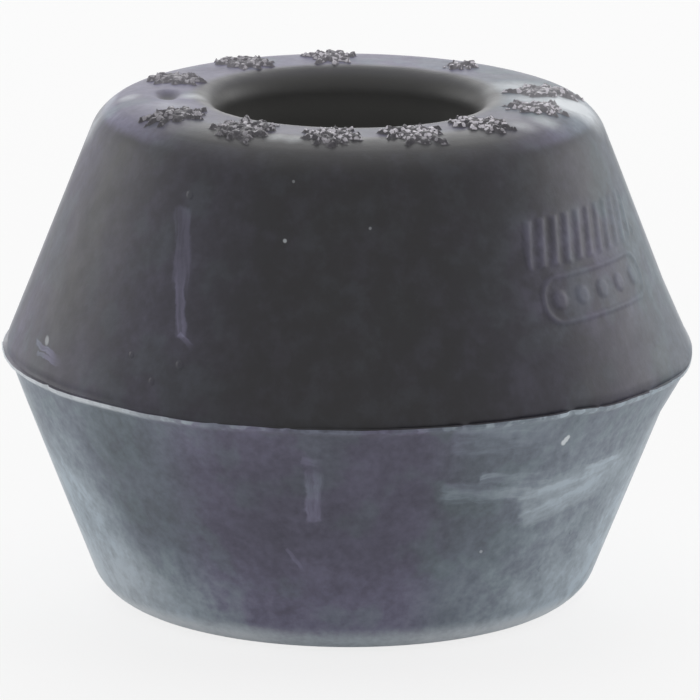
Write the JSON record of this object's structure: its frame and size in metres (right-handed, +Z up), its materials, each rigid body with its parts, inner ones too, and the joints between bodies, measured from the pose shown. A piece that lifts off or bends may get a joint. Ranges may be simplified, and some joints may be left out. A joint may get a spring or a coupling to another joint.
{
  "type": "control arm bushing",
  "caption": "Moulded rubber control arm bushing: a double cone with a plain through bore, a fine parting flash round its girth and a ring of raised star marks on one end face.",
  "frame": {"origin": "centre of the lower end face, where the bore comes out", "axes": "+Z up the bore, from the plain lower end face to the upper end face with the raised stars; -Y is the front, the side seen in the picture"},
  "size_m": [0.0524, 0.0524, 0.0388],
  "materials": {
    "rubber": "matte moulded black rubber with a pale dusty bloom"
  },
  "bodies": {
    "root": {"rubber_bushing": "rubber"}
  },
  "joints": []
}
